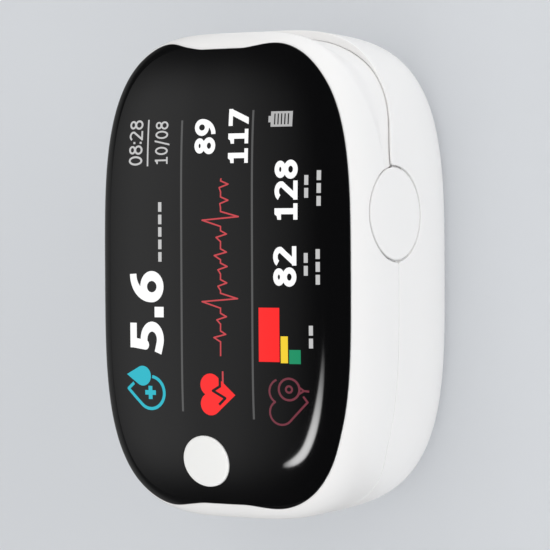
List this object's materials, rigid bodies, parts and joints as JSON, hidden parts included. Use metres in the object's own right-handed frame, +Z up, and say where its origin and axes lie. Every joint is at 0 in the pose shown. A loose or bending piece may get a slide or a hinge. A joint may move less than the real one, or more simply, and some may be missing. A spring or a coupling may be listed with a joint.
{
  "type": "fingertip blood glucose meter",
  "caption": "Fingertip clip health meter: sprung hinged jaws with soft pads, glossy black display lens, power button and sliding battery door.",
  "frame": {"origin": "on the table, under the middle of the body's outline", "axes": "+X points to the squeeze tail, -X to the finger mouth; +Z points up through the display; +Y is the left side seen from the tail"},
  "size_m": [0.06, 0.0364, 0.032],
  "materials": {
    "shell_white": "smooth satin white moulded ABS",
    "lens_black": "high gloss smoke-black lens",
    "button_white": "satin white moulded cap",
    "tray_grey": "plain moulded inner frame",
    "pad_silicone": "matte soft silicone",
    "board_green": "solder-masked circuit board",
    "chip_black": "moulded epoxy packages",
    "window_clear": "clear moulded window",
    "display_dark": "dark emissive display panel",
    "cell_can": "wrapped steel cell can",
    "contact_nickel": "nickel plated spring steel",
    "steel": "plain steel wire, pin and screws",
    "led_red": "moulded emitter package",
    "flex_amber": "polyimide flat cable"
  },
  "bodies": {
    "lower_jaw": {"bottom_shell": "shell_white", "lower_tray": "tray_grey", "lower_pad": "pad_silicone", "detector_board": "board_green", "photodiode": "chip_black", "detector_window": "window_clear", "battery_left": "cell_can", "battery_right": "cell_can", "contact_spring_left": "contact_nickel", "contact_spring_right": "contact_nickel", "bridge_contact": "contact_nickel", "terminal_contacts": "contact_nickel", "hinge_pin": "steel", "pivot_cap_left": "shell_white", "pivot_cap_right": "shell_white", "lower_screws": "steel", "torsion_spring_left": "steel", "torsion_spring_right": "steel", "flex_cable": "flex_amber"},
    "battery_door": {"battery_door": "shell_white"},
    "upper_jaw": {"top_shell": "shell_white", "front_lens": "lens_black", "display_frame": "chip_black", "display_glass": "display_dark", "main_board": "board_green", "board_chips": "chip_black", "buzzer": "chip_black", "tact_switch": "steel", "upper_tray": "tray_grey", "upper_pad": "pad_silicone", "emitter_board": "board_green", "emitter_leds": "led_red", "emitter_window": "window_clear", "upper_screws": "steel"},
    "power_button": {"power_button": "button_white", "switch_plunger": "chip_black"}
  },
  "joints": [
    {"name": "jaw_hinge", "type": "hinge", "parent": "lower_jaw", "child": "upper_jaw", "pos_m": [0.00725, 0, 0.0185], "axis": [0, 1, 0], "range_deg": [0, 10], "stiffness_Nm_per_rad": 0.09, "springref_deg": -20.05, "deforming": ["torsion_spring_left", "torsion_spring_right", "flex_cable"]},
    {"name": "button_press", "type": "slide", "parent": "upper_jaw", "child": "power_button", "axis": [0, 0, -1], "range_m": [0, 0.0004], "stiffness_N_per_m": 600, "springref_m": -0.002},
    {"name": "door_slide", "type": "slide", "parent": "lower_jaw", "child": "battery_door", "axis": [1, 0, 0], "range_m": [0, 0.004]}
  ]
}
